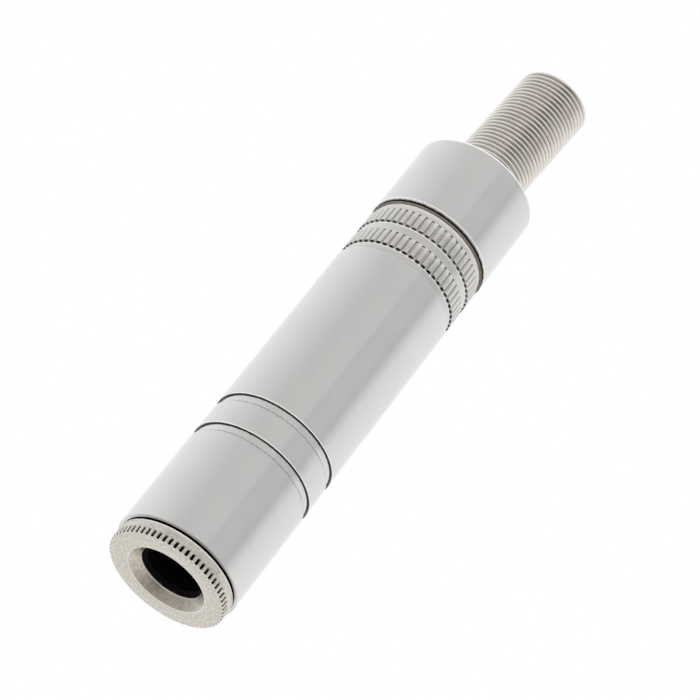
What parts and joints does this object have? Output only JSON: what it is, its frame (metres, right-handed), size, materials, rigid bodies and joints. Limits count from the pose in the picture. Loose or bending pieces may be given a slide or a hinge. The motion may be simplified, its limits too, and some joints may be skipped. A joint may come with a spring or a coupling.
{
  "type": "inline audio jack socket",
  "caption": "Metal cable-mounted jack socket for a 6.35 mm plug, with unscrewing rear cap and a strain-relief spring.",
  "frame": {"origin": "centre of the mouth face, which the socket stands on", "axes": "+Z along the barrel's axis towards the cable end; +X is the side to which the loose spring leans"},
  "size_m": [0.0144, 0.0144, 0.0786],
  "materials": {
    "chrome": "mirror-polished chrome plating",
    "satin_nickel": "satin nickel plating on turned brass",
    "spring_nickel": "nickel-plated spring wire",
    "black_moulding": "black moulded insulator",
    "white_nylon": "natural nylon moulding",
    "clear_sleeve": "thin translucent insulating tube",
    "fibre": "brown vulcanised fibre",
    "spring_bronze": "phosphor bronze strip",
    "tinned_brass": "tin-plated brass strip",
    "brass": "bare brass rivets",
    "washer_steel": "zinc-plated steel"
  },
  "bodies": {
    "root": {"front_nut": "satin_nickel", "front_washer": "fibre", "barrel": "chrome", "socket_housing": "black_moulding", "contact_carrier": "black_moulding", "tip_tag": "tinned_brass", "ring_tag": "tinned_brass", "cable_clamp": "tinned_brass", "tip_rivet": "brass", "ring_rivet": "brass", "sleeve_rivet": "brass", "insulating_sleeve": "clear_sleeve", "knurled_collar": "satin_nickel", "cap_washer": "fibre"},
    "spring_carrier": {"spring_seat": "white_nylon", "thrust_washer": "washer_steel"},
    "cap": {"rear_cap": "chrome"},
    "spring": {"kink_spring": "spring_nickel"},
    "tip_leaf": {"tip_contact": "spring_bronze"},
    "ring_leaf": {"ring_contact": "spring_bronze"},
    "sleeve_leaf": {"sleeve_contact": "spring_bronze"}
  },
  "joints": [
    {"name": "cap_travel", "type": "slide", "parent": "root", "child": "spring_carrier", "axis": [0, 0, 1], "range_m": [0, 0.00487]},
    {"name": "cap_turn", "type": "hinge", "parent": "spring_carrier", "child": "cap", "pos_m": [0, 0, 0.06018], "axis": [0, 0, 1], "range_deg": [0, 2340.5]},
    {"name": "spring_bend", "type": "hinge", "parent": "spring_carrier", "child": "spring", "pos_m": [0, 0, 0.06018], "axis": [0, 1, 0], "range_deg": [-25, 20], "stiffness_Nm_per_rad": 0.02, "deforming": ["kink_spring"]},
    {"name": "tip_flex", "type": "hinge", "parent": "root", "child": "tip_leaf", "pos_m": [0.00398, 0, 0.03795], "axis": [0, -1, 0], "range_deg": [0, 5.2], "stiffness_Nm_per_rad": 0.285, "deforming": ["tip_contact"]},
    {"name": "ring_flex", "type": "hinge", "parent": "root", "child": "ring_leaf", "pos_m": [-0.00398, 0, 0.03795], "axis": [0, 1, 0], "range_deg": [0, 1.9], "stiffness_Nm_per_rad": 0.187, "deforming": ["ring_contact"]},
    {"name": "sleeve_flex", "type": "hinge", "parent": "root", "child": "sleeve_leaf", "pos_m": [0, 0.00398, 0.03795], "axis": [1, 0, 0], "range_deg": [0, 1.2], "stiffness_Nm_per_rad": 0.116, "deforming": ["sleeve_contact"]}
  ],
  "couplings": [
    {"joint": "cap_turn", "follows": "cap_travel", "rad_per_m": 8377.6}
  ]
}
